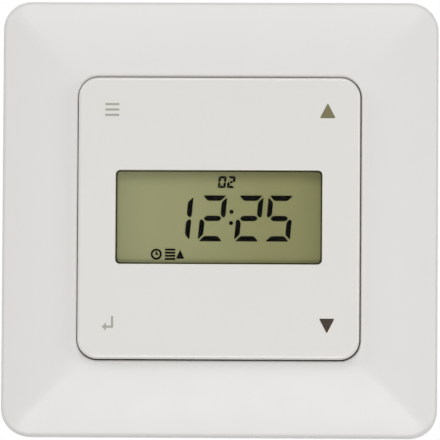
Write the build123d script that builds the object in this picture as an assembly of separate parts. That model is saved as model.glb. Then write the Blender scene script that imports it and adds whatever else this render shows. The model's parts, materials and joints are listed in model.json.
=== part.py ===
from build123d import *

import os
from math import radians, tan

# A flush-mounted shutter timer switch.
# A crowned one-gang cover frame surrounds a square centre plate with a display window and four
# press points in its corners. The plate belongs to a control unit that plugs on to an insert,
# which a steel ring and two spreading claws hold in a round wall box.
#
# The origin is the middle of the four screw slots, on the wall's surface. X runs to the right,
# Z runs up, and the room is on the side of -Y. All lengths are millimetres. A place across the
# wall is written as x and z. A depth is written as a height above the wall: a point at height h
# lies at Y = -h, so what is sunk in the wall box has negative heights.

# Cover frame
frame_size = 85.0
frame_corner = 5.5
frame_opening = 55.3
opening_corner = 4.1
lip_height = 10.0
crown_rim_slope = 16.0
crown_lip_slope = 6.0
mitre_corner = 1.2
mitre_sharpness = 6
frame_wall = 2.0
tower_wall = 1.8
rim_round = 1.1
lip_round = 0.35
ledge_opening = 50.3
ledge_corner = 3.0
ledge_thickness = 1.4
rib_thickness = 1.0
rib_spread = 14.0
rib_lift = 0.6
screw_relief_width = 8.2

# Centre plate
plate_gap = 0.25
plate_proud = 1.8
plate_wall = 1.4
plate_skirt_wall = 1.4
plate_round = 0.6
window_width = 40.2
window_height = 18.3
window_corner = 0.9
window_rise = 0.2
window_round = 0.15
stake_radius = 0.8
stake_length = 2.0
stake_spread_x = 13.5
stake_spread_z = 19.6

# Keys, one under each mark on the plate
key_spread = 20.6
key_skin = 0.6
key_pocket_radius = 5.0
key_head_radius = 4.0
key_head_thickness = 0.7
key_stem_radius = 2.0
key_travel = 0.35

# Display
lens_recess = 0.6
lens_flange = 1.8
lens_flange_thickness = 0.6
glass_width = 45.0
glass_height = 23.0
glass_thickness = 0.9
segment_room = 0.12
reflector_thickness = 0.2
strip_length = 42.0
strip_width = 1.8
strip_margin = 0.15

# Control unit behind the plate
board_thickness = 1.0
board_to_reflector = 1.1
switch_size = 4.6
switch_height = 1.6
switch_floor = 0.4
switch_stem_radius = 1.1
switch_stem_reach = 0.8
guide_thickness = 1.0
guide_foot_radius = 1.4
guide_foot_x = 15.8
guide_foot_z = 14.3
board_margin = 6.2
tray_floor = 1.0
tray_wall = 1.2
tray_height = 3.2
tray_step_height = 6.4
tray_inner_step = 0.8
leg_width = 3.6
leg_thickness = 1.8
leg_length = 6.2
leg_spread_x = 8.0
leg_spread_z = 12.0
snap_width = 6.0
snap_height = 0.9
snap_reach = 0.5
reserve_radius = 4.4
reserve_thickness = 2.0
reserve_x = -6.0
crystal_length = 8.0
crystal_width = 3.2
crystal_thickness = 1.9
crystal_x = 7.0
chip_size = 8.0
chip_thickness = 1.2

# Plug and socket
pin_pitch = 2.54
pin_columns = 5
pin_rows = 2
pin_width = 0.64
pin_reach = 6.4
pin_hole_radius = 0.5
socket_hole_width = 0.8
header_width = 13.2
header_depth = 5.4
header_drop = 0.2

# Support ring
ring_size = 71.0
ring_corner = 4.0
ring_thickness = 1.0
ring_bore_radius = 18.5
box_screw_spacing = 60.0
box_slot_length = 6.0
box_slot_width = 3.6
ring_window = 8.0
ring_window_corner = 1.5
ring_window_spread = 27.0
ring_notch_radius = 2.0
ring_notch_spread = 12.0

# Insert in the wall box
insert_size = 44.0
insert_corner = 6.0
insert_depth = 26.0
insert_wall = 1.5
housing_round = 0.8
lid_thickness = 1.2
platform_height = 2.6
platform_gap = 0.4
boss_inset = 4.5
boss_radius = 2.4
boss_foot_radius = 3.0
recess_width = 12.0
recess_depth = 4.8

# Screws that join the ring, the lid and the casing
ring_screw_radius = 0.95
ring_screw_length = 9.0
ring_pilot_depth = 10.0
ring_screw_head_radius = 2.0
ring_screw_head = 1.3
driver_slot_width = 0.6
driver_slot_depth = 0.7

# Power board and what it carries
power_board_depth = 5.4
power_board_thickness = 1.6
power_board_margin = 1.9
relay_width = 10.2
relay_height = 12.5
relay_gap = 2.2
relay_to_film = 1.7
relay_to_terminals = 2.7
film_width = 13.0
film_depth = 5.0
film_height = 10.5
casing_margin = 2.3
film_x = -5.0
reservoir_radius = 3.5
reservoir_height = 11.0
reservoir_x = 7.5
varistor_radius = 3.1
varistor_thickness = 3.6
varistor_lead_radius = 0.3
varistor_lead_length = 0.9
fuse_radius = 3.2
fuse_height = 7.5

# Push-in terminals
terminal_names = ("live", "neutral", "up", "down", "extension")
terminal_pitch = 5.5
terminal_gap = 0.2
terminal_depth = 9.0
terminal_length = 12.0
terminal_window_gap = 0.3
wire_radius = 1.4
wire_length = 9.0
wire_drop = 1.7
release_width = 3.2
release_depth = 2.4
release_length = 8.4
release_proud = 0.8
release_travel = 1.2
release_rise = 2.7
blade_width = 3.0
blade_thickness = 0.8

# Spreading claws
claw_width = 7.0
claw_thickness = 1.2
claw_pin_radius = 0.8
claw_pin_depth = 5.0
claw_pin_overhang = 1.3
claw_knuckle_radius = 1.8
claw_shoulder = 6.8
claw_lean = 0.7
claw_reach = 21.6
claw_tip = 2.7
claw_bend_radius = 1.0
claw_slot_length = 5.2
claw_tooth = 1.4
claw_screw_offset = 3.25
claw_screw_radius = 1.25
claw_screw_length = 16.0
claw_screw_head_radius = 2.2
claw_screw_head = 1.5

# Clearances
running_gap = 0.05
sliding_gap = 0.1
loose_gap = 0.2
tray_gap = 0.3

# Sizes worked out from those above
crown_width = (frame_size - frame_opening) / 2
plate_size = frame_opening - 2 * plate_gap
plate_corner = opening_corner - plate_gap
plate_front = lip_height + plate_proud
plate_back = plate_front - plate_wall
plate_inside = plate_size - 2 * plate_skirt_wall
ledge_top = tray_step_height - 2 * loose_gap
ledge_low = ledge_top - ledge_thickness
skirt_low = ledge_top + loose_gap
lens_back = plate_back - lens_flange_thickness
glass_front = lens_back - segment_room
glass_back = glass_front - 2 * glass_thickness
glass_ledge = strip_width + 2 * strip_margin
reflector_back = glass_back - reflector_thickness
board_front = reflector_back - board_to_reflector
board_back = board_front - board_thickness
switch_top = board_front + switch_height
stem_top = switch_top + switch_stem_reach
key_head_low = plate_back
guide_low = glass_front - guide_thickness
tray_outside = ledge_opening - 2 * tray_gap
tray_inside = tray_outside - 2 * tray_wall
tray_top_outside = plate_inside - 2 * loose_gap
tray_top_inside = tray_top_outside - 2 * tray_wall
snap_middle = (tray_step_height + plate_back) / 2
header_back = tray_height - header_drop
recess_floor = insert_size / 2 - recess_depth
power_board_back = -power_board_depth - power_board_thickness
boss_spread = insert_size / 2 - boss_inset
casing_inside = insert_size / 2 - insert_wall
beside_recess = recess_width / 2 + insert_wall + fuse_radius + loose_gap
relay_spread = (relay_width + relay_gap) / 2
terminal_width = terminal_pitch - terminal_gap
terminal_rise = terminal_window_gap + terminal_depth / 2 - casing_inside
terminal_back = -insert_depth
terminal_front = terminal_back + terminal_length
claw_pivot = recess_floor + claw_knuckle_radius + loose_gap
claw_screw_x = claw_pivot + claw_screw_offset

board_edge = tray_inside / 2 - board_margin
reserve_place = (reserve_x, board_edge)
crystal_place = (crystal_x, board_edge)
chip_place = (0, -board_edge)
film_place = (film_x, casing_inside - film_depth / 2 - casing_margin)
relay_high = casing_inside - film_depth - casing_margin - relay_to_film
relay_low = terminal_rise + terminal_depth / 2 + relay_to_terminals
relay_rise = (relay_high + relay_low) / 2
reservoir_place = (reservoir_x, casing_inside - reservoir_radius - casing_margin / 2)
varistor_place = (casing_inside - varistor_thickness / 2 - casing_margin, beside_recess)
fuse_place = (fuse_radius + loose_gap - casing_inside, beside_recess)

# Heights of the crown's cross-sections, as shares of its width out from the lip
crown_shares = (1.0, 0.93, 0.8, 0.6, 0.4, 0.2, 0.07, 0.0)

key_places = {
    "menu": (-key_spread, key_spread),
    "enter": (-key_spread, -key_spread),
    "up": (key_spread, key_spread),
    "down": (key_spread, -key_spread),
}


def at_height(height):
    """The plane parallel to the wall at a height above it, seen from the room."""
    return Plane.XZ.offset(height)


def slab(outline, low, high):
    """A flat outline made solid between two heights."""
    return extrude(at_height(low) * outline, high - low)


def square(size, corner):
    """A square outline with rounded corners."""
    return RectangleRounded(size, size, corner)


def block(place, width, depth, low, high):
    """A rectangular block between two heights, placed by its middle."""
    return slab(Pos(*place) * Rectangle(width, depth), low, high)


def peg(place, radius, low, high):
    """A round peg that stands square to the wall."""
    return slab(Pos(*place) * Circle(radius), low, high)


def four_corners(spread_x, spread_z):
    """The four places at plus and minus two spreads."""
    return [(x, z) for x in (-spread_x, spread_x) for z in (-spread_z, spread_z)]


def joined(solids):
    """Several solids made into one shape."""
    first, *others = solids
    whole = first
    for other in others:
        whole += other
    return whole


def on_four_sides(shape):
    """A shape and its copies on the other three sides of the square."""
    return joined(shape.rotate(Axis.Y, 90 * turn) for turn in range(4))


def edges_at(shape, height):
    """The edges of a shape that lie flat at one height."""
    return shape.edges().filter_by_position(Axis.Y, -height - 1e-4, -height + 1e-4)


# Cover frame


def crown_drop(out):
    """How far the crown lies under the lip, at a distance out from the opening."""
    lip = tan(radians(crown_lip_slope))
    rim = tan(radians(crown_rim_slope))
    return lip * out + (rim - lip) * out**2 / (2 * crown_width)


def crown_corner(out):
    """The crown's corner radius: its sides meet in mitres that open out only at lip and rim."""
    share = out / crown_width
    ends = opening_corner if share < 0.5 else frame_corner
    return mitre_corner + (ends - mitre_corner) * abs(2 * share - 1) ** mitre_sharpness


def crowned_block(inset):
    """The frame's outer form from the wall up, taken in at its sides and sunk under its crown."""
    outlines = []
    for share in crown_shares:
        out = crown_width * share
        outline = square(frame_opening + 2 * (out - inset), crown_corner(out) - inset / 2)
        outlines.append(at_height(lip_height - crown_drop(out) - inset) * outline)
    rim_height = lip_height - crown_drop(crown_width) - inset
    base = slab(square(frame_size - 2 * inset, frame_corner - inset / 2), 0, rim_height)
    return base + loft(outlines)


def frame_hollow():
    """The hollow behind the crown, round the tower, parted by ribs and a stiffening wall."""
    tower_size = frame_opening + 2 * tower_wall
    rib_low = ring_thickness + rib_lift
    tower = slab(square(tower_size, opening_corner + tower_wall), 0, lip_height)
    hollow = crowned_block(frame_wall) - tower
    stiffener_size = (tower_size + frame_size - 2 * frame_wall) / 2
    stiffener = slab(square(stiffener_size + rib_thickness, frame_corner), rib_low, lip_height)
    stiffener -= slab(square(stiffener_size - rib_thickness, frame_corner), rib_low, lip_height)
    ribs = [
        block((x, frame_size / 2 - crown_width / 2), rib_thickness, crown_width, rib_low, lip_height)
        for x in (-rib_spread, rib_spread)
    ]
    return hollow - stiffener - on_four_sides(joined(ribs))


def make_cover_frame():
    body = crowned_block(0)
    rim_height = lip_height - crown_drop(crown_width)
    body = fillet(edges_at(body, rim_height), rim_round)
    body -= frame_hollow()
    foot = square(frame_opening + 2 * tower_wall + 2 * sliding_gap, opening_corner + tower_wall)
    body -= slab(foot, 0, ring_thickness + sliding_gap)
    body -= slab(square(frame_opening, opening_corner), ledge_top, lip_height)
    body -= slab(square(frame_opening, opening_corner), 0, ledge_low)
    body -= slab(square(ledge_opening, ledge_corner), ledge_low, ledge_top)
    relief_middle = (frame_opening + tower_wall) / 2
    relief = block((0, relief_middle), screw_relief_width, tower_wall + loose_gap,
                   0, ledge_low - loose_gap)
    body -= on_four_sides(relief)
    return fillet(edges_at(body, lip_height), lip_round)


# Centre plate, one moulding thinned from behind over each key


def window_outline(grow):
    """The display window's outline, grown on every side."""
    corner = max(window_corner + grow, window_corner / 2)
    outline = RectangleRounded(window_width + 2 * grow, window_height + 2 * grow, corner)
    return Pos(0, window_rise) * outline


def is_window_edge(edge):
    """Whether an edge on the plate's front belongs to the display window."""
    middle = edge.center()
    return abs(middle.X) < window_width / 2 + loose_gap and abs(middle.Z) < window_height


def snap_bars(width, height, reach):
    """Four bars, one on each side of the tray's upper wall, that stand out from it."""
    bar = block((0, tray_top_outside / 2 + (reach - tray_wall) / 2), width, reach + tray_wall,
                snap_middle - height / 2, snap_middle + height / 2)
    return on_four_sides(bar)


def make_cover_plate():
    body = slab(square(plate_size, plate_corner), skirt_low, plate_front)
    body = fillet(edges_at(body, plate_front), plate_round)
    body -= slab(square(plate_inside, plate_corner - plate_skirt_wall), skirt_low, plate_back)
    body -= slab(window_outline(0), plate_back, plate_front)
    body = fillet(edges_at(body, plate_front).filter_by(is_window_edge), window_round)
    for place in key_places.values():
        body -= peg(place, key_pocket_radius, plate_back, plate_front - key_skin)
    for place in four_corners(stake_spread_x, stake_spread_z):
        body += peg(place, stake_radius, plate_back - stake_length, plate_back)
    return body - snap_bars(snap_width + 2 * loose_gap, snap_height + 2 * loose_gap,
                            snap_reach + loose_gap)


# Display: a stepped lens in the window, a glass cell, its reflector and its contact strips


def make_window_lens():
    pane = slab(window_outline(-sliding_gap), plate_back, plate_front - lens_recess)
    flange = slab(window_outline(lens_flange), lens_back, plate_back)
    return pane + flange


def make_lcd_panel():
    place = (0, window_rise)
    front = block(place, glass_width, glass_height, glass_front - glass_thickness, glass_front)
    rear = block(place, glass_width, glass_height - 2 * glass_ledge,
                 glass_back, glass_front - glass_thickness)
    return front + rear


def make_lcd_reflector():
    return block((0, window_rise), glass_width, glass_height - 2 * glass_ledge,
                 reflector_back, glass_back)


def make_contact_strip(side):
    strip_z = window_rise + side * (glass_height - glass_ledge) / 2
    return block((0, strip_z), strip_length, strip_width, board_front, glass_front - glass_thickness)


# Keys: a plunger under the plate's skin stands on the stem of a switch


def make_key_plunger(place):
    head = peg(place, key_head_radius, key_head_low, key_head_low + key_head_thickness)
    return head + peg(place, key_stem_radius, stem_top, key_head_low)


def make_switch_stem(place):
    low = board_front + switch_floor + key_travel + running_gap
    return peg(place, switch_stem_radius, low, stem_top)


def make_switch_case(place):
    body = block(place, switch_size, switch_size, board_front, switch_top)
    return body - peg(place, switch_stem_radius + sliding_gap, board_front + switch_floor, switch_top)


def make_key_guide():
    outline = square(tray_top_inside - 2 * loose_gap, plate_corner - plate_skirt_wall - tray_wall)
    body = slab(outline, guide_low, glass_front)
    body -= block((0, window_rise), glass_width + 2 * loose_gap, glass_height + 2 * loose_gap,
                  guide_low, glass_front)
    for place in key_places.values():
        body -= peg(place, key_stem_radius + sliding_gap, guide_low, glass_front)
    for place in four_corners(stake_spread_x, stake_spread_z):
        body -= peg(place, stake_radius + sliding_gap, guide_low, glass_front)
    for place in four_corners(guide_foot_x, guide_foot_z):
        body += peg(place, guide_foot_radius, board_front, guide_low)
    return body


# Control unit's board and the parts on it


def pin_places():
    """The places of the plug's pins, in rows along X."""
    return [
        ((column - (pin_columns - 1) / 2) * pin_pitch, (row - (pin_rows - 1) / 2) * pin_pitch)
        for row in range(pin_rows)
        for column in range(pin_columns)
    ]


def make_display_board():
    body = slab(square(tray_inside - 2 * loose_gap, ledge_corner - tray_wall), board_back, board_front)
    for place in pin_places():
        body -= peg(place, pin_hole_radius, board_back, board_front)
    return body


def make_reserve_capacitor():
    return peg(reserve_place, reserve_radius, board_front, board_front + reserve_thickness)


def make_quartz_crystal():
    outline = Pos(*crystal_place) * SlotOverall(crystal_length, crystal_width)
    return slab(outline, board_front, board_front + crystal_thickness)


def make_controller_chip():
    return block(chip_place, chip_size, chip_size, board_front, board_front + chip_thickness)


def make_plug_header():
    body = block((0, 0), header_width, header_depth, header_back, board_back)
    for place in pin_places():
        body -= block(place, pin_width, pin_width, header_back, board_back)
    return body


def make_plug_pins():
    low = header_back - pin_reach
    high = board_front + loose_gap
    return joined(block(place, pin_width, pin_width, low, high) for place in pin_places())


def make_rear_tray():
    corner = plate_corner - plate_skirt_wall
    inner_step = tray_step_height + tray_inner_step
    tray_top = plate_back - loose_gap
    body = slab(square(tray_outside, ledge_corner), tray_height, tray_step_height)
    body += slab(square(tray_top_outside, corner), tray_step_height, tray_top)
    body -= slab(square(tray_inside, ledge_corner - tray_wall), tray_height + tray_floor, inner_step)
    body -= slab(square(tray_top_inside, corner - tray_wall), inner_step, tray_top)
    body -= block((0, 0), header_width + 2 * loose_gap, header_depth + 2 * loose_gap,
                  tray_height, tray_height + tray_floor)
    for place in key_places.values():
        body += peg(place, switch_size / 2, tray_height + tray_floor, board_back)
    return body + snap_bars(snap_width, snap_height, snap_reach)


def make_guide_legs():
    """The four legs under the tray that find their slots before the plug meets its socket."""
    return joined(
        block(place, leg_width, leg_thickness, tray_height - leg_length, tray_height)
        for place in four_corners(leg_spread_x, leg_spread_z)
    )


# Support ring, flat on the wall, and the screws that hold it to the insert


def make_support_ring():
    outline = square(ring_size, ring_corner) - Circle(ring_bore_radius)
    for turn in range(4):
        slot = Pos(box_screw_spacing / 2, 0) * SlotOverall(box_slot_length, box_slot_width)
        outline -= Rot(0, 0, 90 * turn) * slot
        for side in (-1, 1):
            notch = Pos(ring_size / 2, side * ring_notch_spread) * Circle(ring_notch_radius)
            outline -= Rot(0, 0, 90 * turn) * notch
    for place in four_corners(ring_window_spread, ring_window_spread):
        outline -= Pos(*place) * square(ring_window, ring_window_corner)
    for place in four_corners(boss_spread, boss_spread):
        outline -= Pos(*place) * Circle(ring_screw_radius + loose_gap)
    for side in (-1, 1):
        outline -= Pos(side * claw_screw_x, 0) * Circle(claw_screw_radius + loose_gap)
    return slab(outline, 0, ring_thickness)


def driver_slot(place, length, high):
    """The slot that a screwdriver turns, in a screw head whose top is at a height."""
    return block(place, length, driver_slot_width, high - driver_slot_depth, high)


def make_ring_screw(place):
    head_top = ring_thickness + ring_screw_head
    body = peg(place, ring_screw_head_radius, ring_thickness, head_top)
    body += peg(place, ring_screw_radius, -ring_screw_length, ring_thickness)
    return body - driver_slot(place, 2 * ring_screw_head_radius, head_top)


def make_ring_screws():
    return joined(make_ring_screw(place) for place in four_corners(boss_spread, boss_spread))


# Insert: a lid with a round platform, and a casing with a recess for each claw


def insert_outline(inset):
    """The insert's outline with its two claw recesses, taken in on every side."""
    outline = square(insert_size - 2 * inset, insert_corner - inset)
    for side in (-1, 1):
        recess_x = side * (recess_floor - inset + insert_size / 2)
        outline -= Pos(recess_x, 0) * Rectangle(insert_size, recess_width + 2 * inset)
    return outline


def make_insert_lid():
    platform_radius = ring_bore_radius - platform_gap
    body = slab(insert_outline(0), -lid_thickness, 0)
    body += peg((0, 0), platform_radius, -lid_thickness, platform_height)
    body -= peg((0, 0), platform_radius - insert_wall, -lid_thickness, platform_height - lid_thickness)
    body -= block((0, 0), header_width + 3 * loose_gap, header_depth + 3 * loose_gap,
                  -lid_thickness, platform_height)
    for place in four_corners(leg_spread_x, leg_spread_z):
        body -= block(place, leg_width + 2 * loose_gap, leg_thickness + 2 * loose_gap,
                      -lid_thickness, platform_height)
    for place in four_corners(boss_spread, boss_spread):
        body -= peg(place, ring_screw_radius + loose_gap, -lid_thickness, 0)
    return body


def make_insert_housing():
    floor = insert_wall - insert_depth
    body = slab(insert_outline(0), -insert_depth, -lid_thickness)
    body = fillet(edges_at(body, -insert_depth), housing_round)
    body -= slab(insert_outline(insert_wall), floor, -lid_thickness)
    for place in four_corners(boss_spread, boss_spread):
        body += peg(place, boss_foot_radius, floor, power_board_back)
        body += peg(place, boss_radius, power_board_back, -lid_thickness)
        body -= peg(place, ring_screw_radius + running_gap, -ring_pilot_depth, -lid_thickness)
    row = (len(terminal_names) - 1) * terminal_pitch + terminal_width
    body -= block((0, terminal_rise), row + 2 * terminal_window_gap, terminal_depth + 2 * loose_gap,
                  -insert_depth, floor)
    pin_length = recess_width + 2 * insert_wall + 2 * loose_gap
    for side in (-1, 1):
        body -= claw_axle(side, claw_pin_radius + running_gap, pin_length)
    return body


# Plug socket and power board


def make_socket_block():
    body = block((0, 0), header_width, header_depth, -power_board_depth, platform_height)
    hole_floor = header_back - pin_reach - 2 * loose_gap
    for place in pin_places():
        body -= block(place, socket_hole_width, socket_hole_width, hole_floor, platform_height)
    return body


def make_socket_pins():
    return joined(
        block(place, pin_width, pin_width, power_board_back, -power_board_depth)
        for place in pin_places()
    )


def make_power_board():
    outline = insert_outline(power_board_margin)
    for place in four_corners(boss_spread, boss_spread):
        outline -= Pos(*place) * Circle(boss_radius + 2 * loose_gap)
    for place in pin_places():
        outline -= Pos(*place) * Circle(pin_hole_radius)
    return slab(outline, power_board_back, -power_board_depth)


def make_relay(side):
    return block((side * relay_spread, relay_rise), relay_width, relay_high - relay_low,
                 power_board_back - relay_height, power_board_back)


def make_film_capacitor():
    return block(film_place, film_width, film_depth, power_board_back - film_height, power_board_back)


def make_reservoir_capacitor():
    return peg(reservoir_place, reservoir_radius,
               power_board_back - reservoir_height, power_board_back)


def make_varistor():
    """A disc on edge with its flat sides square to X, on two short leads."""
    x, z = varistor_place
    middle_y = -power_board_back + varistor_lead_length + varistor_radius
    disc = Pos(x, middle_y, z) * Rot(0, 90, 0) * Cylinder(varistor_radius, varistor_thickness)
    leads = [
        peg((x, z + side * varistor_radius / 2), varistor_lead_radius, -middle_y, power_board_back)
        for side in (-1, 1)
    ]
    return joined([disc, *leads])


def make_fuse():
    return peg(fuse_place, fuse_radius, power_board_back - fuse_height, power_board_back)


# Push-in terminals, each with a wire entry, a release key and a contact blade


def terminal_x(index):
    """The place of a terminal along the row."""
    return (index - (len(terminal_names) - 1) / 2) * terminal_pitch


def make_terminal(index):
    x = terminal_x(index)
    wire_place = (x, terminal_rise - wire_drop)
    key_place = (x, terminal_rise + release_rise)
    slot_length = release_length - release_proud + release_travel + loose_gap
    body = block((x, terminal_rise), terminal_width, terminal_depth, terminal_back, terminal_front)
    body -= peg(wire_place, wire_radius, terminal_back, terminal_back + wire_length)
    body -= block(key_place, release_width + 2 * sliding_gap, release_depth + 2 * sliding_gap,
                  terminal_back, terminal_back + slot_length)
    return body


def make_release_key(index):
    """A sliding key with a notch in its outer end for a screwdriver's tip."""
    place = (terminal_x(index), terminal_rise + release_rise)
    low = terminal_back - release_proud
    body = block(place, release_width, release_depth, low, low + release_length)
    return body - block(place, release_width, driver_slot_width, low, low + driver_slot_depth)


def make_contact_blades():
    return joined(
        block((terminal_x(index), terminal_rise), blade_width, blade_thickness,
              terminal_front, power_board_back)
        for index in range(len(terminal_names))
    )


# Spreading claws: each turns on a pin in its recess when its screw draws it up


def claw_axle(side, radius, length):
    """A rod along Z on a claw's pivot."""
    return Pos(side * claw_pivot, claw_pin_depth, 0) * Cylinder(radius, length)


def make_claw_pin(side):
    return claw_axle(side, claw_pin_radius, recess_width + 2 * claw_pin_overhang)


def make_right_claw():
    """A bent strip with a rolled knuckle, a slot for the screw and teeth on its slanted tip."""
    arm_y = claw_pin_depth + claw_knuckle_radius - claw_thickness / 2
    outer_x = claw_pivot + claw_shoulder
    path = FilletPolyline(
        (claw_pivot, arm_y),
        (outer_x, arm_y),
        (outer_x - claw_lean, claw_reach),
        (outer_x - claw_lean + claw_tip, claw_reach + claw_tip),
        radius=claw_bend_radius,
    )
    knuckle = Pos(claw_pivot, claw_pin_depth) * Circle(claw_knuckle_radius)
    bore = Pos(claw_pivot, claw_pin_depth) * Circle(claw_pin_radius + running_gap)
    profile = trace(path, claw_thickness) + knuckle - bore
    body = extrude(profile, claw_width / 2, both=True)
    slot = SlotOverall(claw_slot_length, 2 * (claw_screw_radius + sliding_gap))
    body -= slab(Pos(claw_screw_x, 0) * slot, -arm_y - claw_thickness, -arm_y + claw_thickness)
    for side in (-1, 0, 1):
        tip = Pos(outer_x - claw_lean + claw_tip, claw_reach + claw_tip, side * claw_width / 3)
        along_tip = Rot(0, 0, 45)
        body -= tip * along_tip * Rot(0, 45, 0) * Box(claw_tooth, 2 * claw_thickness, claw_tooth)
    return body


def make_claw_screw(side):
    place = (side * claw_screw_x, 0)
    head_top = ring_thickness + claw_screw_head
    body = peg(place, claw_screw_head_radius, ring_thickness, head_top)
    body += peg(place, claw_screw_radius, -claw_screw_length, ring_thickness)
    return body - driver_slot(place, 2 * claw_screw_head_radius, head_top)


def make_pieces():
    """Every piece of the switch, by the name of its file."""
    right_claw = make_right_claw()
    pieces = {
        "cover_frame": make_cover_frame(),
        "cover_plate": make_cover_plate(),
        "window_lens": make_window_lens(),
        "lcd_panel": make_lcd_panel(),
        "lcd_reflector": make_lcd_reflector(),
        "contact_strip_upper": make_contact_strip(1),
        "contact_strip_lower": make_contact_strip(-1),
        "key_guide": make_key_guide(),
        "display_board": make_display_board(),
        "reserve_capacitor": make_reserve_capacitor(),
        "quartz_crystal": make_quartz_crystal(),
        "controller_chip": make_controller_chip(),
        "plug_header": make_plug_header(),
        "plug_pins": make_plug_pins(),
        "rear_tray": make_rear_tray(),
        "guide_legs": make_guide_legs(),
        "support_ring": make_support_ring(),
        "ring_screws": make_ring_screws(),
        "insert_lid": make_insert_lid(),
        "insert_housing": make_insert_housing(),
        "socket_block": make_socket_block(),
        "socket_pins": make_socket_pins(),
        "power_board": make_power_board(),
        "relay_up": make_relay(-1),
        "relay_down": make_relay(1),
        "film_capacitor": make_film_capacitor(),
        "reservoir_capacitor": make_reservoir_capacitor(),
        "varistor": make_varistor(),
        "fuse": make_fuse(),
        "contact_blades": make_contact_blades(),
        "claw_right": right_claw,
        "claw_left": mirror(right_claw, about=Plane.YZ),
        "claw_pin_right": make_claw_pin(1),
        "claw_pin_left": make_claw_pin(-1),
        "claw_screw_right": make_claw_screw(1),
        "claw_screw_left": make_claw_screw(-1),
    }
    for name, place in key_places.items():
        pieces[f"key_plunger_{name}"] = make_key_plunger(place)
        pieces[f"switch_stem_{name}"] = make_switch_stem(place)
        pieces[f"switch_case_{name}"] = make_switch_case(place)
    for index, name in enumerate(terminal_names):
        pieces[f"terminal_{name}"] = make_terminal(index)
        pieces[f"release_key_{name}"] = make_release_key(index)
    return pieces


os.makedirs("parts", exist_ok=True)
for piece_name, piece in make_pieces().items():
    export_step(piece, f"parts/{piece_name}.step")
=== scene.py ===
# %% [markdown]
# This lesson dresses a shutter timer switch: a square white frame on the wall, a centre plate with
# a segment display and four press points, and behind them the control unit and the insert that
# sits in the wall box. The shapes of the rigid parts come from the CAD model, which is loaded here
# and never moved. What is added in Blender is everything that an eye sees before it sees a shape:
# the fine grain of the mouldings, the print over the keys, the dark segments of the display, the
# zinc on the steel, and the light.

import json
from math import cos, pi, radians, sin

import bpy
from mathutils import Matrix, Vector


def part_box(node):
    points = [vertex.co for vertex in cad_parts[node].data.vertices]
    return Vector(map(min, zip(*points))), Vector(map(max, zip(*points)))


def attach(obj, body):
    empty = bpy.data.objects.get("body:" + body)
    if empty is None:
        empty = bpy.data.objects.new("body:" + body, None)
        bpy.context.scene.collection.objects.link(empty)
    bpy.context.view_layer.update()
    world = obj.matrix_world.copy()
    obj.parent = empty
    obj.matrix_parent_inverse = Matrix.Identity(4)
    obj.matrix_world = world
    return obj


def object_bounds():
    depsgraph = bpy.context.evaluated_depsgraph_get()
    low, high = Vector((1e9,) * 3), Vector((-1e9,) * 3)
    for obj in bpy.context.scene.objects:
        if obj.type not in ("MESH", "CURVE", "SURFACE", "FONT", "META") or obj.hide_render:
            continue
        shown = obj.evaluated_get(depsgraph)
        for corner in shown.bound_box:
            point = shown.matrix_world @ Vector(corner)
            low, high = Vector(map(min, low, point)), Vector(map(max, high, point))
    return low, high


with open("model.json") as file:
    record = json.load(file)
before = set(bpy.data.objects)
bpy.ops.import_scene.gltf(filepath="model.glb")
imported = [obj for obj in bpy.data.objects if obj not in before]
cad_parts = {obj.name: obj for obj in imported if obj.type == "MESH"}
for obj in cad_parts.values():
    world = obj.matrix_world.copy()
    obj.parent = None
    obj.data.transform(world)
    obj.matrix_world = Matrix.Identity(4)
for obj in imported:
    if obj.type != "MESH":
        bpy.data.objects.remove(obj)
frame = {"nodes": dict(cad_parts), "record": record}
cad_box = [list(corner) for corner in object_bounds()]
nodes = frame["nodes"]
MM = 0.001
print("CAD box in mm:", [[round(value / MM, 1) for value in corner] for corner in cad_box])

# %% [markdown]
# Three heights above the wall matter for everything that is added: the front of the plate, which
# carries the printed marks, and the narrow room between the display's glass and its window, where
# the segments lie. They are read from the loaded parts, so they follow the model if it changes.
# The room is on the side of -Y, so a height above the wall is a Y with its sign turned.

# %% Heights above the wall
plate_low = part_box("cover_plate")[0]
glass_low, glass_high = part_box("lcd_panel")
lens_low, lens_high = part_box("window_lens")
plate_front = -plate_low.y
glass_front = -glass_low.y
lens_back = -lens_high.y
window_middle = (glass_low + glass_high) / 2
print("plate front", round(plate_front / MM, 2), "mm, glass front", round(glass_front / MM, 2), "mm")

# %% [markdown]
# The photograph is taken almost square on: the plate, which stands proud of the frame, looks moved
# a little to the left and upwards against it, so the camera is a few degrees to the right and
# below. From more than a metre away the sides of the low frame stay out of sight. The lens is
# worked out from the width of the frame and the share of the picture that it fills, and the point
# looked at is moved by fractions of a millimetre, because the picture isn't cropped quite evenly.

# %% Camera
PHOTO_SIZE = 440
FRAME_PIXELS = 441.9
CAMERA_DISTANCE = 1.2
CAMERA_TO_THE_RIGHT = radians(2.3)
CAMERA_BELOW = radians(3.2)
CAMERA_ROLL = radians(0.35)
LOOKS_RIGHT_MM = 0.26
LOOKS_UP_MM = -0.36
SENSOR = 36.0
CLIP_START = 0.01
frame_width = cad_box[1][0] - cad_box[0][0]
view_width = frame_width * PHOTO_SIZE / FRAME_PIXELS

camera_data = bpy.data.cameras.new("camera")
camera_data.sensor_width = SENSOR
camera_data.lens = SENSOR * (CAMERA_DISTANCE - plate_front) / view_width
camera_data.clip_start = CLIP_START
camera = bpy.data.objects.new("camera", camera_data)
looked_at = Vector((LOOKS_RIGHT_MM * MM, -plate_front, LOOKS_UP_MM * MM))
turned = Matrix.Rotation(CAMERA_TO_THE_RIGHT, 4, "Z") @ Matrix.Rotation(pi / 2 + CAMERA_BELOW, 4, "X")
rolled = turned @ Matrix.Rotation(CAMERA_ROLL, 4, "Z")
camera.matrix_world = Matrix.Translation(looked_at) @ rolled @ Matrix.Translation((0, 0, CAMERA_DISTANCE))
bpy.context.collection.objects.link(camera)
bpy.context.scene.camera = camera
print("lens", round(camera_data.lens, 1), "mm, at",
      [round(part, 3) for part in camera.matrix_world.translation])

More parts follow.
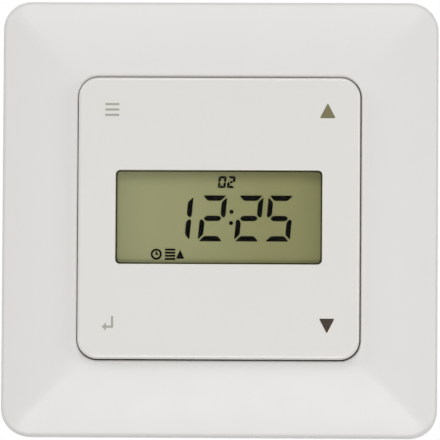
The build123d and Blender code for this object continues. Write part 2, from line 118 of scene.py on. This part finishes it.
# %% [markdown]
# One small class does all the shader arithmetic. It holds an output socket, and when two of them
# are added or multiplied it lays down a Math node. Numbers alone never reach it, because Python
# works those out. Any other node comes from its method `make`, which takes the node's type, its
# settings and what its sockets are given, so a finish reads like a recipe, not like a heap of links.

# %% Sockets that can be added and multiplied
class Wire:
    """An output socket of a node in a material, with arithmetic."""

    def __init__(self, tree, socket):
        self.tree = tree
        self.socket = socket

    @classmethod
    def make(cls, tree, kind, settings=None, sockets=None, output=0):
        """A new node: its settings first, then its sockets. Returns one of its outputs."""
        node = tree.nodes.new(kind)
        for name, value in (settings or {}).items():
            if name == "stops":
                set_stops(node.color_ramp, value)
            else:
                setattr(node, name, value)
        for name, value in (sockets or {}).items():
            plug(tree, node.inputs[name], value)
        return cls(tree, node.outputs[output])

    def math(self, operation, first, second):
        return self.make(self.tree, "ShaderNodeMath", {"operation": operation}, {0: first, 1: second})

    def __add__(self, other):
        return self.math("ADD", self, other)

    def __radd__(self, other):
        return self.math("ADD", other, self)

    def __mul__(self, other):
        return self.math("MULTIPLY", self, other)

    def __rmul__(self, other):
        return self.math("MULTIPLY", other, self)


def plug(tree, socket, value):
    """Gives a socket a link, a number or a colour."""
    if isinstance(value, Wire):
        tree.links.new(value.socket, socket)
    elif hasattr(value, "__len__") and len(value) == 3 and len(socket.default_value) == 4:
        socket.default_value = (*value, 1.0)
    else:
        socket.default_value = value


def set_stops(ramp, stops):
    """Gives a colour ramp its stops: pairs of a position and a colour."""
    halfway = 0.5
    while len(ramp.elements) < len(stops):
        ramp.elements.new(halfway)
    for element, (place, colour) in zip(ramp.elements, stops):
        element.position = place
        element.color = (*colour, 1.0)


operators = sorted(name.strip("_") for name in vars(Wire) if name.endswith(("add__", "mul__")))
print("operators of a Wire:", operators)

# %% [markdown]
# Every finish starts the same way: a material with one Principled shader, and the position on the
# object as the place to look up noise, so that the grain has a real size in millimetres and does
# not depend on any unwrapping. `mixed` blends two colours, `noise` gives a grain of a size in
# millimetres, and `bump` turns a height into a normal.

# %% Helpers that every finish uses
def start(name, **sockets):
    """A new material with a Principled shader. Returns the material, its tree and its shader."""
    material = bpy.data.materials.new(name)
    material.use_nodes = True
    tree = material.node_tree
    shader = tree.nodes["Principled BSDF"]
    for socket, value in sockets.items():
        plug(tree, shader.inputs[socket.replace("_", " ")], value)
    return material, tree, shader


def position(tree):
    """The place on the object, in metres."""
    return Wire.make(tree, "ShaderNodeTexCoord", output="Object")


def noise(tree, place, grain_mm, detail=2.0, roughness=0.5):
    """Noise from 0 to 1 whose grains are about one size across, in millimetres."""
    scale = 1.0 / (grain_mm * MM)
    return Wire.make(tree, "ShaderNodeTexNoise", None,
                     {"Vector": place, "Scale": scale, "Detail": detail, "Roughness": roughness})


def mixed(tree, share, first, second):
    """A colour between two others."""
    return Wire.make(tree, "ShaderNodeMix", {"data_type": "RGBA"}, {0: share, 6: first, 7: second}, 2)


def bump(tree, height, depth_mm):
    """A normal from a height of 0 to 1 that stands for a depth in millimetres."""
    return Wire.make(tree, "ShaderNodeBump", None, {"Height": height, "Distance": depth_mm * MM})


def stretched(tree, place, scales):
    """A place whose axes are scaled one by one, for a grain that runs one way."""
    return Wire.make(tree, "ShaderNodeVectorMath", {"operation": "MULTIPLY"}, {0: place, 1: scales})


def recipe(material):
    """How many nodes a material has, for the prints of the next cells."""
    return material.name + " (" + str(len(material.node_tree.nodes)) + " nodes)"


SAMPLE_GRAIN_MM = 0.1
print("a grain of", SAMPLE_GRAIN_MM, "mm is a noise scale of", round(1 / (SAMPLE_GRAIN_MM * MM)))

# %% [markdown]
# The frame and the plate are injection-moulded thermoplastic in a warm white. The tool that shapes
# them is spark-eroded very finely, so the skin is satin: it has no visible pattern from arm's
# length, but its highlight is broad. Three things together give that: a fine bump, a roughness
# that wanders a little where hands have polished the skin, and a faint unevenness of the colour.
# The plate comes from a smoother tool than the frame, so it also gets a thin clear coat.

# %% Satin white mouldings
COAT_ROUGHNESS = 0.14
CLOUD_MM = 14.0
CLOUD_SHARE = 0.5
SHADE_SHARE = 0.97
POLISH_MM = 5.0
POLISH_SWING = 0.1


def moulded(name, colour, roughness, grain_mm=0.12, grain_depth_mm=0.002, coat=0.0):
    """A moulded plastic with a finely eroded skin."""
    material, tree, shader = start(name, Coat_Weight=coat, Coat_Roughness=COAT_ROUGHNESS)
    place = position(tree)
    grain = noise(tree, place, grain_mm, detail=3.0, roughness=0.6)
    clouds = noise(tree, place, CLOUD_MM, detail=1.0)
    shade = tuple(part * SHADE_SHARE for part in colour)
    uneven = clouds * CLOUD_SHARE + grain * (1 - CLOUD_SHARE)
    plug(tree, shader.inputs["Base Color"], mixed(tree, uneven, shade, colour))
    wander = noise(tree, place, POLISH_MM, detail=4.0)
    plug(tree, shader.inputs["Roughness"], roughness - POLISH_SWING / 2 + wander * POLISH_SWING)
    plug(tree, shader.inputs["Normal"], bump(tree, grain, grain_depth_mm))
    return material


WHITE_FRAME = (0.815, 0.80, 0.782)
WHITE_PLATE = (0.80, 0.782, 0.75)
frame_white = moulded("frame_white", WHITE_FRAME, 0.4)
plate_white = moulded("plate_white", WHITE_PLATE, 0.3, grain_depth_mm=0.0012, coat=0.5)
print("white mouldings:", recipe(frame_white), recipe(plate_white))

# %% [markdown]
# The display is a reflective cell: two panes of glass with a foil behind them, seen through a clear
# lens. Its colour is an olive grey, and painted shade on it makes it warmer and darker towards the
# right, where such a cell sends less light back. A gradient across the glass holds that painted
# shade, and a faint speckle stands for the grain of the foil. The edge of the glass looks darker
# under the plate, and that needs no colour: the window's own sides keep the light out.

# %% Olive display glass and its clear lens
# The stops are the olive of the cell with painted shade: darker and warmer towards the right.
OLIVE_AND_PAINTED_SHADE_STOPS = [
    (0.0, (0.42, 0.43, 0.228)),
    (0.35, (0.41, 0.415, 0.205)),
    (0.7, (0.345, 0.34, 0.148)),
    (1.0, (0.315, 0.315, 0.132)),
]
FOIL_MM = 0.25
FOIL_SHARE = 0.12
FOIL_COLOUR = (0.42, 0.42, 0.28)
LENS_ROUGHNESS = 0.05
LENS_SWING = 0.05


def display_glass():
    """The reflective cell: olive with painted shade darker towards the right, and the speckle of its foil.
    """
    material, tree, shader = start("display_glass", Roughness=0.55, Specular_IOR_Level=0.1)
    place = position(tree)
    parts = Wire.make(tree, "ShaderNodeSeparateXYZ", None, {0: place})
    across = Wire.make(tree, "ShaderNodeMapRange", None,
                       {0: parts, 1: glass_low.x, 2: glass_high.x, 3: 0.0, 4: 1.0})
    olive = Wire.make(tree, "ShaderNodeValToRGB", {"stops": OLIVE_AND_PAINTED_SHADE_STOPS}, {0: across})
    foil = noise(tree, place, FOIL_MM, detail=3.0, roughness=0.7)
    speck = mixed(tree, foil * FOIL_SHARE, olive, FOIL_COLOUR)
    plug(tree, shader.inputs["Base Color"], speck)
    plug(tree, shader.inputs["Normal"], bump(tree, foil, depth_mm=0.002))
    return material


def clear_lens():
    """A nearly invisible pane, whose gloss wanders a little."""
    material, tree, shader = start("clear_lens", Base_Color=(0.02, 0.022, 0.016), Alpha=0.06)
    wander = noise(tree, position(tree), grain_mm=6.0)
    plug(tree, shader.inputs["Roughness"], LENS_ROUGHNESS + wander * LENS_SWING)
    return material


lcd_olive = display_glass()
lens_clear = clear_lens()
print("display:", recipe(lcd_olive), recipe(lens_clear))

# %% [markdown]
# Steel parts for a wall box are punched or turned and then plated with zinc, which leaves a bluish
# grey skin with broad, cloudy patches and fine lines from rolling. Screws are often passivated
# yellow. One recipe serves both: the lines come from noise that is stretched along the rolling
# direction, and the clouds shift both the colour and the roughness.

# %% Plated and bare metals
LINE_STRETCH = (0.05, 1.0, 1.0)
ZINC_DROP = 0.08
ZINC_CLOUD_SWING = 0.1
ZINC_LINE_SWING = 0.06


def plated(name, colour, cloud_colour, roughness, line_depth_mm=0.004):
    """Zinc-plated steel with rolling lines along X."""
    material, tree, shader = start(name, Metallic=1.0)
    place = position(tree)
    clouds = noise(tree, place, grain_mm=4.0, detail=4.0, roughness=0.6)
    lines = noise(tree, stretched(tree, place, LINE_STRETCH), grain_mm=0.15)
    plug(tree, shader.inputs["Base Color"], mixed(tree, clouds, colour, cloud_colour))
    wander = roughness - ZINC_DROP + clouds * ZINC_CLOUD_SWING + lines * ZINC_LINE_SWING
    plug(tree, shader.inputs["Roughness"], wander)
    plug(tree, shader.inputs["Normal"], bump(tree, lines, line_depth_mm))
    return material


ring_zinc = plated("ring_zinc", (0.68, 0.7, 0.72), (0.55, 0.57, 0.6), 0.38)
print("plated steel:", recipe(ring_zinc))

# %% [markdown]
# A circuit board is glass fibre under a green solder mask. Light goes a little way into the mask
# and shows the copper tracks under it as paler lines. A brick texture with thin mortar makes a
# passable pattern of tracks, and the same pattern lifts the mask a few hundredths of a millimetre.

# %% Circuit boards
def circuit_board():
    """Green mask over copper tracks."""
    material, tree, shader = start("circuit_board", Roughness=0.3, Coat_Weight=0.3)
    place = position(tree)
    flat = Wire.make(tree, "ShaderNodeVectorRotate", {"rotation_type": "X_AXIS"},
                     {"Vector": place, "Angle": pi / 2})
    tracks = Wire.make(tree, "ShaderNodeTexBrick", {"offset": 0.37, "squash": 0.6, "squash_frequency": 3}, {
        "Vector": flat, "Color1": (0, 0, 0), "Color2": (0, 0, 0), "Mortar": (1, 1, 1),
        "Scale": 1 / MM, "Mortar Size": 0.14, "Mortar Smooth": 0.3, "Brick Width": 7.0,
        "Row Height": 1.7,
    }, "Fac")
    weave = noise(tree, place, grain_mm=0.6)
    mask = mixed(tree, weave, (0.01, 0.075, 0.03), (0.015, 0.1, 0.04))
    plug(tree, shader.inputs["Base Color"], mixed(tree, tracks, mask, (0.04, 0.2, 0.075)))
    plug(tree, shader.inputs["Normal"], bump(tree, tracks, depth_mm=0.03))
    return material


board_green = circuit_board()
print("board:", recipe(board_green))

# %% [markdown]
# The contact strips under the display are layers of conductive and plain silicone, far too thin to
# count. A wave texture with wider bands, which an eye can still see, shows what they are.

# %% Striped silicone
def striped_silicone():
    """Bands of two silicones across the strip."""
    material, tree, shader = start("striped_silicone", Roughness=0.6)
    place = position(tree)
    bands = Wire.make(tree, "ShaderNodeTexWave", {"bands_direction": "X"},
                      {"Vector": place, "Scale": 0.3 / MM, "Distortion": 0.0})
    plug(tree, shader.inputs["Base Color"], mixed(tree, bands, (0.55, 0.22, 0.25), (0.08, 0.05, 0.05)))
    plug(tree, shader.inputs["Normal"], bump(tree, bands, depth_mm=0.02))
    return material


strip_silicone = striped_silicone()
print("contact strips:", recipe(strip_silicone))

# %% [markdown]
# Each part of the model gets the finish of the real one. The names on the left are material slots
# of the record, so every node finds its finish through the slot that the record gives it, and a
# part that is added to the model later in one of these slots is dressed without a new line here.

# %% Give every part its finish
finishes = {
    "frame_white": frame_white,
    "plate_white": plate_white,
    "lens_clear": lens_clear,
    "lcd_glass": lcd_olive,
    "reflector_foil": plated("reflector_foil", (0.62, 0.62, 0.5), (0.5, 0.5, 0.4), 0.35),
    "elastomer": strip_silicone,
    "guide_white": moulded("guide_white", (0.75, 0.75, 0.72), 0.5),
    "switch_black": moulded("switch_black", (0.03, 0.03, 0.033), 0.45),
    "key_pin_white": moulded("key_pin_white", (0.8, 0.8, 0.77), 0.4),
    "board_green": board_green,
    "component_silver": plated("component_silver", (0.7, 0.7, 0.7), (0.6, 0.6, 0.62), 0.3),
    "chip_black": moulded("chip_black", (0.018, 0.018, 0.02), 0.55, 0.2, 0.004),
    "plug_black": moulded("plug_black", (0.025, 0.025, 0.027), 0.5),
    "contact_gold": plated("contact_gold", (0.9, 0.68, 0.3), (0.82, 0.58, 0.24), 0.28),
    "contact_brass": plated("contact_brass", (0.78, 0.58, 0.27), (0.66, 0.46, 0.2), 0.32),
    "tray_grey": moulded("tray_grey", (0.3, 0.31, 0.32), 0.5, 0.18, 0.004),
    "ring_zinc": ring_zinc,
    "screw_zinc": plated("screw_zinc", (0.78, 0.7, 0.48), (0.66, 0.62, 0.5), 0.34, 0.002),
    "claw_zinc": plated("claw_zinc", (0.66, 0.68, 0.7), (0.5, 0.52, 0.55), 0.36),
    "lid_grey": moulded("lid_grey", (0.16, 0.165, 0.17), 0.5, 0.18, 0.004),
    "housing_grey": moulded("housing_grey", (0.11, 0.115, 0.12), 0.5, 0.2, 0.005),
    "relay_blue": moulded("relay_blue", (0.03, 0.09, 0.3), 0.35),
    "film_yellow": moulded("film_yellow", (0.65, 0.45, 0.04), 0.3),
    "sleeve_black": moulded("sleeve_black", (0.02, 0.02, 0.03), 0.25),
    "varistor_blue": moulded("varistor_blue", (0.03, 0.12, 0.35), 0.3),
    "fuse_brown": moulded("fuse_brown", (0.09, 0.04, 0.025), 0.4),
    "terminal_white": moulded("terminal_white", (0.62, 0.62, 0.6), 0.45),
    "release_orange": moulded("release_orange", (0.75, 0.2, 0.03), 0.4),
}

for part in frame["record"]["subparts"]:
    mesh = nodes[part["node"]].data
    mesh.materials.clear()
    mesh.materials.append(finishes[part["material_slot"]])
print(len(finishes), "finishes on", len(nodes), "parts")

# %% [markdown]
# The marks and the segments are flat shapes, a few hundredths of a millimetre thick. They are drawn
# as outlines in millimetres, x to the right and z up from the middle of the frame, and raised by a
# 2D curve, which fills an outline inside another one as a hole. The curve is turned into a mesh
# when it is done, so that a piece is plain geometry like the rest.

# %% Flat printed shapes
def flat_piece(name, outlines, height, thickness_mm, material, body):
    """Outlines in millimetres, raised from a height above the wall in metres."""
    curve = bpy.data.curves.new(name + "_outline", "CURVE")
    curve.dimensions = "2D"
    curve.fill_mode = "BOTH"
    curve.extrude = thickness_mm * MM / 2
    for outline in outlines:
        spline = curve.splines.new("POLY")
        spline.points.add(len(outline) - 1)
        for point, (x, z) in zip(spline.points, outline):
            point.co = (x * MM, z * MM, 0, 1)
        spline.use_cyclic_u = True
    drawing = bpy.data.objects.new(name + "_drawing", curve)
    bpy.context.collection.objects.link(drawing)
    bpy.context.view_layer.update()
    mesh = bpy.data.meshes.new_from_object(drawing.evaluated_get(bpy.context.evaluated_depsgraph_get()))
    bpy.data.objects.remove(drawing)
    upright = Matrix.Translation((0, -height - thickness_mm * MM / 2, 0)) @ Matrix.Rotation(pi / 2, 4, "X")
    mesh.transform(upright)
    mesh.materials.clear()
    mesh.materials.append(material)
    piece = bpy.data.objects.new(name, mesh)
    bpy.context.collection.objects.link(piece)
    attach(piece, body)
    return piece


def rounded(corners, radius, steps=4):
    """An outline whose corners are rounded, from its corners and one radius."""
    outline = []
    for index, corner in enumerate(corners):
        before = Vector(corners[index - 1])
        here = Vector(corner)
        after = Vector(corners[(index + 1) % len(corners)])
        back = (before - here).normalized() * radius
        forth = (after - here).normalized() * radius
        for step in range(steps + 1):
            t = step / steps
            point = (here + back) * (1 - t) ** 2 + here * 2 * t * (1 - t) + (here + forth) * t**2
            outline.append((point.x, point.y))
    return outline


def bar(x, z, width, height, radius=0.0):
    """A rectangle by its middle, with rounded corners if a radius is given."""
    half_width, half_height = width / 2, height / 2
    corners = [(x - half_width, z - half_height), (x + half_width, z - half_height),
               (x + half_width, z + half_height), (x - half_width, z + half_height)]
    return rounded(corners, radius) if radius else corners


def disc(x, z, radius, sides=32):
    """A circle as an outline."""
    return [(x + radius * cos(2 * pi * side / sides), z + radius * sin(2 * pi * side / sides))
            for side in range(sides)]


print("a disc is an outline of", len(disc(0, 0, 1)), "points, a rounded bar of", len(bar(0, 0, 2, 1, 0.1)))

# %% [markdown]
# Four marks are printed on the plate, one over each key: three bars for the menu, a bent arrow for
# enter, and a triangle up and down. Pad printing lays the ink a few hundredths of a millimetre
# thick, and its colour is a little uneven, which a fine noise shows. The two triangles differ in
# colour on the real one, the lower being darker.

# %% Ink
PALER = 1.25


def ink(name, colour):
    """Pad-printed ink with uneven patches."""
    material, tree, shader = start(name, Roughness=0.5, Specular_IOR_Level=0.1)
    place = position(tree)
    patches = noise(tree, place, grain_mm=0.35, detail=3.0, roughness=0.6)
    pale = tuple(min(1.0, part * PALER) for part in colour)
    plug(tree, shader.inputs["Base Color"], mixed(tree, patches, colour, pale))
    plug(tree, shader.inputs["Normal"], bump(tree, patches, depth_mm=0.004))
    return material


pale_ink = ink("pale_ink", (0.385, 0.375, 0.32))
olive_ink = ink("olive_ink", (0.195, 0.178, 0.0975))
dark_ink = ink("dark_ink", (0.0614, 0.047, 0.036))
print("inks:", recipe(pale_ink), recipe(olive_ink), recipe(dark_ink))

# %% Marks on the plate
MENU_X = -20.85
MENU_ROWS = (20.05, 21.1, 22.15)
MENU_WIDTH = 2.75
STROKE = 0.42
ENTER_HEAD_SHARE = 1 / 3.4
TRIANGLE_ROUND = 0.3
INK_THICKNESS = 0.02

menu_bars = [bar(MENU_X, row, MENU_WIDTH, STROKE, radius=0.1) for row in MENU_ROWS]


def triangle(x, z, width, height, way):
    """An upright triangle with soft corners, by its middle."""
    tip = z + way * height / 2
    base = z - way * height / 2
    return rounded([(x - width / 2, base), (x + width / 2, base), (x, tip)], TRIANGLE_ROUND)


def enter_arrow(x, z, width, height):
    """A stroke that comes down at the right and turns into an arrow to the left."""
    half = STROKE / 2
    right, left = x + width / 2, x - width / 2
    top, low = z + height / 2, z - height / 4
    head = height * ENTER_HEAD_SHARE
    return [
        (right, top), (right - STROKE, top), (right - STROKE, low + half),
        (left + head, low + half), (left + head, low + head), (left, low),
        (left + head, low - head), (left + head, low - half), (right, low - half),
    ]


marks = [
    ("mark_menu", menu_bars, pale_ink),
    ("mark_enter", [enter_arrow(x=-21.5, z=-20.5, width=2.2, height=2.75)], pale_ink),
    ("mark_up", [triangle(x=21.1, z=21.0, width=3.1, height=2.95, way=1)], olive_ink),
    ("mark_down", [triangle(x=21.1, z=-20.9, width=3.0, height=2.9, way=-1)], dark_ink),
]
for name, outlines, material in marks:
    flat_piece(name, outlines, plate_front, INK_THICKNESS, material, "unit")
print(len(marks), "marks printed")

# %% [markdown]
# A digit of the display is seven segments. Each is a bar whose ends are cut at about 45 degrees and
# then blunted, with a thin gap to its neighbours, and the whole digit leans a few degrees to the
# right. Drawing each digit by hand would give as many outlines to keep in step. Here only three
# bars are drawn, one along the top, one in the middle and one at the upper right: the others are
# their mirror images. They stand upright in a cell first, and are leaned afterwards.

# %% Segments of a digit
SEGMENTS = {"0": "abcdef", "1": "bc", "2": "abged", "5": "afgcd"}
SLANT = 0.0936


class Digits:
    """A size of digit: its cell, the thickness of its bars, the gap between them, all in mm."""

    BLUNTNESS = 0.35
    END_DROP = 1.5
    INNER_END_DROP = 0.7
    TIP_SHARE = 0.7
    SHOULDER_SHARE = 0.53

    def __init__(self, width, height, side, bar, gap):
        self.width = width
        self.height = height
        self.side = side
        self.bar = bar
        self.gap = gap
        self.blunt = self.BLUNTNESS * side

    def segment(self, letter):
        """One upright segment, in a cell whose lower left corner is at 0, 0."""
        mirrored_x = {"f": "b", "e": "c"}
        mirrored_z = {"d": "a", "c": "b"}
        if letter in mirrored_x:
            return [(self.width - x, z) for x, z in self.segment(mirrored_x[letter])]
        if letter in mirrored_z:
            return [(x, self.height - z) for x, z in self.segment(mirrored_z[letter])]
        right, top, side, thick, gap = self.width, self.height, self.side, self.bar, self.gap
        middle, half = top / 2, thick / 2
        drop = self.END_DROP * gap
        if letter == "a":
            return [(gap, top), (right - gap, top), (right - side - gap, top - thick),
                    (side + gap, top - thick)]
        if letter == "g":
            tip = self.TIP_SHARE * side
            shoulder = tip + self.SHOULDER_SHARE * thick
            return [(tip, middle), (shoulder, middle + half), (right - shoulder, middle + half),
                    (right - tip, middle), (right - shoulder, middle - half), (shoulder, middle - half)]
        inner_end = middle + half + drop * self.INNER_END_DROP
        return [(right, top - drop), (right, middle + drop), (right - side / 2, middle + drop / 2),
                (right - side, inner_end), (right - side, top - thick - drop)]

    def draw(self, figure, right, bottom):
        """The leaned segments of a figure. right is where its right side meets the line of its top."""
        outlines = []
        for letter in SEGMENTS[figure]:
            shape = rounded(self.segment(letter), self.blunt)
            outlines.append([(right - self.width + x + (z - self.height) * SLANT, bottom + z)
                             for x, z in shape])
        return outlines


time_size = Digits(width=4.95, height=8.95, side=0.98, bar=1.04, gap=0.21)
day_size = Digits(width=1.52, height=2.3, side=0.5, bar=0.46, gap=0.03)
top_bar = [(round(x, 2), round(z, 2)) for x, z in time_size.segment("a")]
print("corners of a large digit's top bar:", top_bar)

# %% [markdown]
# The display shows a time in four large digits, a small day number above them, and a row of signs
# below: a clock, the slats of a shutter and an arrow. The segments lie on the glass, under the
# lens, and are nearly black.

# %% What the display shows
TIME = "1225"
TIME_BOTTOM = -4.6
TIME_RIGHTS = (-4.97, 1.61, 8.69, 14.6)
COLON = ((2.41, 1.16), (2.33, -1.03))
COLON_RADIUS = 0.4
DAY = "02"
DAY_BOTTOM = 5.8
DAY_RIGHTS = (1.42, 3.2)
SEGMENT_THICKNESS = 0.05
window_x, window_z = window_middle.x / MM, window_middle.z / MM


def shifted(outlines):
    """Outlines moved from the middle of the window to the frame's own middle."""
    return [[(x + window_x, z + window_z) for x, z in outline] for outline in outlines]


time_outlines = []
for figure, right in zip(TIME, TIME_RIGHTS):
    time_outlines += time_size.draw(figure, right, TIME_BOTTOM)
time_outlines += [disc(x, z, COLON_RADIUS, sides=16) for x, z in COLON]

day_outlines = []
for figure, right in zip(DAY, DAY_RIGHTS):
    day_outlines += day_size.draw(figure, right, DAY_BOTTOM)

SIGN_Z = -7.15
CLOCK_X = -12.2
SLATS_X = -9.5
SLAT_LIFTS = (-0.9, -0.3, 0.3, 0.9)
LONG_HAND = (0.0, 0.2)
SHORT_HAND = (0.28, -0.02)
HAND_WIDTH = 0.3
ARROW_X = -7.55
ARROW_CORNERS = ((-0.8, -0.85), (0.8, -0.85), (0.0, 0.9))
sign_outlines = [
    disc(CLOCK_X, SIGN_Z, radius=1.08),
    disc(CLOCK_X, SIGN_Z, radius=0.7),
    bar(CLOCK_X + LONG_HAND[0], SIGN_Z + LONG_HAND[1], HAND_WIDTH, height=0.7),
    bar(CLOCK_X + SHORT_HAND[0], SIGN_Z + SHORT_HAND[1], HAND_WIDTH, height=0.28),
]
sign_outlines += [bar(SLATS_X, SIGN_Z + lift, width=2.0, height=0.38) for lift in SLAT_LIFTS]
sign_outlines.append([(ARROW_X + x, SIGN_Z + z) for x, z in ARROW_CORNERS])


def matt_black(name, dark, pale, grain_mm):
    """A black that shines as little as possible, with a faint cloud in it."""
    material, tree, shader = start(name, Roughness=0.6, Specular_IOR_Level=0.0)
    cloud = noise(tree, position(tree), grain_mm)
    plug(tree, shader.inputs["Base Color"], mixed(tree, cloud, dark, pale))
    return material


segment_black = matt_black("segment_black", dark=(0.001, 0.001, 0.001), pale=(0.003, 0.003, 0.002),
                           grain_mm=0.8)
for name, outlines in (("time_digits", time_outlines), ("day_digits", day_outlines),
                       ("display_signs", sign_outlines)):
    flat_piece(name, shifted(outlines), glass_front, SEGMENT_THICKNESS, segment_black, "unit")
room = (lens_back - glass_front) / MM
print("segments", SEGMENT_THICKNESS, "mm thick in a room of", round(room, 2), "mm")

# %% [markdown]
# The window has a fine dark line all round, the shadow where the plate's edge meets the lens, and
# it is painted shade: a thin black ring on the lens's front. It could be a change of colour in the
# lens's material, but then it would need the distance to the edge. A ring of geometry is simpler:
# its outer outline is the lens's own front, measured on its mesh.

# %% Painted shadow ring on the lens
BORDER_WIDTH = 0.2
BORDER_THICKNESS = 0.02
LENS_CORNER = 0.8
NEARLY_LEVEL_MM = 0.01
lens_front = -lens_low.y
front_points = [point.co for point in nodes["window_lens"].data.vertices
                if -point.co.y > lens_front - NEARLY_LEVEL_MM * MM]
pane_width = (max(point.x for point in front_points) - min(point.x for point in front_points)) / MM
pane_height = (max(point.z for point in front_points) - min(point.z for point in front_points)) / MM
# A dark ring of painted shade along the window's edge, where the plate shades the lens.
border_black = matt_black("border_black", dark=(0.02, 0.018, 0.01), pale=(0.035, 0.03, 0.02),
                          grain_mm=0.5)
border = [bar(0, 0, pane_width - 2 * inset, pane_height - 2 * inset, LENS_CORNER)
          for inset in (0, BORDER_WIDTH)]
flat_piece("lens_border", shifted(border), lens_front, BORDER_THICKNESS, border_black, "unit")
print("lens front", round(pane_width, 2), "by", round(pane_height, 2), "mm")

# %% [markdown]
# Nobody sees the back of the insert once it is in its wall box, but the fitter reads it. A casing
# like this has its signs in relief, from hollows cut into the mould, because ink would rub off: a
# sign over each terminal, a wire drawn with the length that is to be stripped, the round marks of
# the pins that push the casing out of its mould, and a raised border round the place of the rating
# plate, which stays bare here. Their outlines are raised in the same way as the print, and they
# take the casing's own plastic. Each sign stands over the middle of its terminal's own box.

# %% Signs in relief on the insert
RELIEF = 0.3
SIGN_LIFT = 1.9
GAUGE_Z = -5.2
RULER_Z = -3.0
STRIPPED = 11.0
SLEEVE_WIDTH = 6.0
SLEEVE_GAP = 0.1
PIN_MARKS = ((-14.5, 15.5), (14.5, 15.5), (-14.5, -5.0), (14.5, -5.0))
PLATE_Z = 8.0


def ring(x, z, radius, stroke):
    """A circle with a hole, as two outlines."""
    return [disc(x, z, radius), disc(x, z, radius - stroke)]


def border_of(x, z, width, height, radius, stroke):
    """A rounded rectangle with a hole, as two outlines."""
    return [bar(x, z, width, height, radius),
            bar(x, z, width - 2 * stroke, height - 2 * stroke, radius - stroke / 2)]


terminal_signs = {
    "terminal_live": lambda x, z: [disc(x, z, radius=0.9)],
    "terminal_neutral": lambda x, z: ring(x, z, radius=1.0, stroke=0.4),
    "terminal_up": lambda x, z: [triangle(x, z, width=2.2, height=1.9, way=1)],
    "terminal_down": lambda x, z: [triangle(x, z, width=2.2, height=1.9, way=-1)],
    "terminal_extension": lambda x, z: border_of(x, z, width=1.9, height=1.9, radius=0.3, stroke=0.4),
}
relief = []
for terminal, sign in terminal_signs.items():
    low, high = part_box(terminal)
    relief += sign((low.x + high.x) / 2 / MM, high.z / MM + SIGN_LIFT)
relief.append(bar(0.0, GAUGE_Z, width=STRIPPED, height=0.7))
sleeve_x = STRIPPED / 2 + SLEEVE_GAP + SLEEVE_WIDTH / 2
relief.append(bar(sleeve_x, GAUGE_Z, SLEEVE_WIDTH, height=1.9, radius=0.3))
relief.append(bar(0.0, RULER_Z, width=STRIPPED - 0.8, height=0.35))
relief += [bar(x, RULER_Z, width=0.35, height=1.5) for x in (-STRIPPED / 2, STRIPPED / 2)]
for x, z in PIN_MARKS:
    relief += ring(x, z, radius=1.7, stroke=0.3)
relief += border_of(0.0, PLATE_Z, width=26.0, height=13.0, radius=1.5, stroke=0.45)
back = -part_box("insert_housing")[1].y - RELIEF * MM
flat_piece("insert_relief", relief, back, RELIEF, finishes["housing_grey"], "insert")
print(len(relief), "outlines in relief,", round(-back / MM, 2), "mm behind the wall")

# %% [markdown]
# The floor and the light make a plain pale studio. The floor lies well below the switch, because
# the real one hangs on a wall and touches nothing. The white behind the frame is the world as the
# camera sees it, so no extra light falls on the object to make it.

# %% Floor
FLOOR_DROP = 0.55
FLOOR_REACH = 0.6
FLOOR_GRAIN_MM = 30.0
floor_mesh = bpy.data.meshes.new("floor")
floor_z = cad_box[0][2] - FLOOR_DROP
floor_corners = [(x * FLOOR_REACH, y * FLOOR_REACH, floor_z)
                 for x, y in ((-1, -1), (1, -1), (1, 1), (-1, 1))]
floor_mesh.from_pydata(floor_corners, [], [(0, 1, 2, 3)])
floor = bpy.data.objects.new("floor", floor_mesh)
bpy.context.collection.objects.link(floor)
floor_pale, floor_tree, floor_shader = start("floor_pale", Roughness=0.9)
floor_grain = noise(floor_tree, position(floor_tree), FLOOR_GRAIN_MM)
plug(floor_tree, floor_shader.inputs["Base Color"],
     mixed(floor_tree, floor_grain, (0.84, 0.84, 0.84), (0.86, 0.86, 0.86)))
floor_mesh.materials.append(floor_pale)
print("floor", round(FLOOR_DROP / MM), "mm below the frame")

# %% World
world = bpy.data.worlds.new("studio")
world.use_nodes = True
bpy.context.scene.world = world
sky = world.node_tree
AMBIENT = 0.29
light_path = sky.nodes.new("ShaderNodeLightPath")
seen = Wire(sky, light_path.outputs["Is Camera Ray"])
glossy = Wire(sky, light_path.outputs["Is Glossy Ray"])
through = Wire(sky, light_path.outputs["Is Transmission Ray"])
shown = Wire.make(sky, "ShaderNodeMath", {"operation": "ADD", "use_clamp": True},
                  {0: seen + glossy, 1: through})
background = sky.nodes["Background"]
background.inputs["Color"].default_value = (1, 1, 1, 1)
plug(sky, background.inputs["Strength"], AMBIENT + shown * (1 - AMBIENT))
print("world:", AMBIENT, "on the object, 1 in the picture and in reflections")

# %% [markdown]
# Soft lamps stand round the switch. One grazes the wall from the upper left and throws the plate's
# shadow to the right on the frame. A stronger one at the right keeps the frame's left slope the
# darkest of the four. One above and one low in front light the top and bottom slopes, and the last
# stands behind, where the wall would be, so that the insert is lit when it is looked at from there.

# %% Lamps
def soft_lamp(name, place, size, power):
    """A square lamp that looks at the middle of the object."""
    lamp_data = bpy.data.lights.new(name, "AREA")
    lamp_data.shape = "SQUARE"
    lamp_data.size = size
    lamp_data.energy = power
    lamp = bpy.data.objects.new(name, lamp_data)
    lamp.location = place
    lamp.rotation_euler = (-Vector(place)).to_track_quat("-Z", "Y").to_euler()
    bpy.context.collection.objects.link(lamp)
    print(name, power, "W")


soft_lamp("grazing_lamp", place=(-0.9, -0.5, 0.5), size=0.35, power=2.0)
soft_lamp("side_lamp", place=(1.1, -0.6, 0.1), size=0.5, power=3.0)
soft_lamp("top_lamp", place=(0.0, -0.85, 0.85), size=0.5, power=3.6)
soft_lamp("low_lamp", place=(0.0, -0.8, -0.36), size=0.25, power=2.1)
soft_lamp("back_lamp", place=(0.4, 0.9, 0.5), size=0.6, power=3.0)

# %% Colour and sizes
bpy.context.scene.view_settings.view_transform = "Standard"
bpy.context.view_layer.update()
